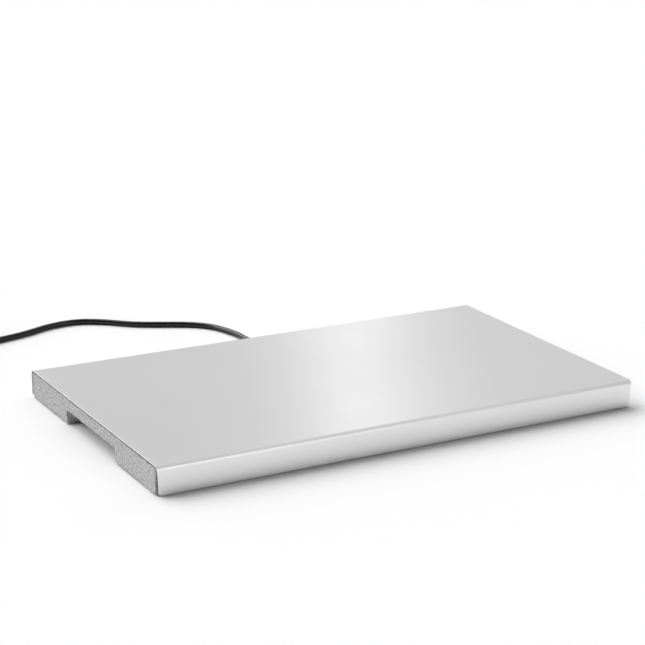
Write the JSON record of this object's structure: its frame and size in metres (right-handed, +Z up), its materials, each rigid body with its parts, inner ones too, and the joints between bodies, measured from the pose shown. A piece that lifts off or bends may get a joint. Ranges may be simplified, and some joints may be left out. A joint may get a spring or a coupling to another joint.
{
  "type": "hot stone warming plate",
  "caption": "Flat electric warming plate for massage stones: folded stainless cover bonded over a pressed mineral core, with a black mains cord leaving the rear.",
  "frame": {"origin": "on the surface the pads stand on, under the middle of the plate", "axes": "+X along the plate's long side, -Y towards the front lip, +Y towards the cord, +Z up"},
  "size_m": [0.6599, 0.5465, 0.0371],
  "materials": {
    "stainless_sheet": "fine satin, near mirror",
    "pressed_core": "grey speckled pressed mineral board, open cut edge",
    "silicone_bond": "dark heat-proof silicone",
    "heater_silicone": "brick-red silicone with glass fabric",
    "spreader_aluminium": "mill finish",
    "plated_steel": "zinc plated",
    "galvanised_tray": "galvanised sheet",
    "switch_ceramic": "unglazed off-white",
    "terminal_plastic": "natural nylon",
    "spacer_brass": "turned",
    "pad_rubber": "pressed rubber granulate",
    "cord_sheath": "black satin sheath",
    "plug_black": "fine moulded grain",
    "pin_nickel": "nickel plated",
    "wire_brown": "insulation",
    "wire_blue": "insulation",
    "wire_earth": "green and yellow insulation",
    "tie_rubber": "ribbed band"
  },
  "bodies": {
    "root": {"top_cover": "stainless_sheet", "bond_film": "silicone_bond", "front_core": "pressed_core", "rear_core": "pressed_core", "heating_mat": "heater_silicone", "heat_spreader": "spreader_aluminium", "earth_stud": "plated_steel", "earth_washer": "plated_steel", "earth_ring": "plated_steel", "earth_nut": "plated_steel", "thermostat": "switch_ceramic", "thermostat_flange": "spreader_aluminium", "thermostat_screws": "plated_steel", "thermal_fuse": "plated_steel", "terminal_block": "terminal_plastic", "terminal_screws": "plated_steel", "service_tray": "galvanised_tray", "tray_spacers": "spacer_brass", "tray_screws": "plated_steel", "tray_grommet": "pad_rubber", "cord_clamp": "terminal_plastic", "clamp_screws": "plated_steel", "strain_relief": "cord_sheath", "cord_inner_end": "cord_sheath", "front_pad": "pad_rubber", "rear_pad": "pad_rubber", "rear_screws": "plated_steel", "live_wire": "wire_brown", "neutral_wire": "wire_blue", "earth_wire": "wire_earth", "thermostat_wire": "wire_brown", "neutral_lead": "wire_blue", "fuse_wire": "wire_brown", "live_lead": "wire_brown", "earth_lead": "wire_earth", "mains_cord": "cord_sheath", "cord_tail": "cord_sheath", "cord_coil": "cord_sheath", "cord_tie": "tie_rubber", "plug_body": "plug_black", "plug_pins": "pin_nickel", "plug_earth_clips": "pin_nickel"}
  },
  "joints": []
}
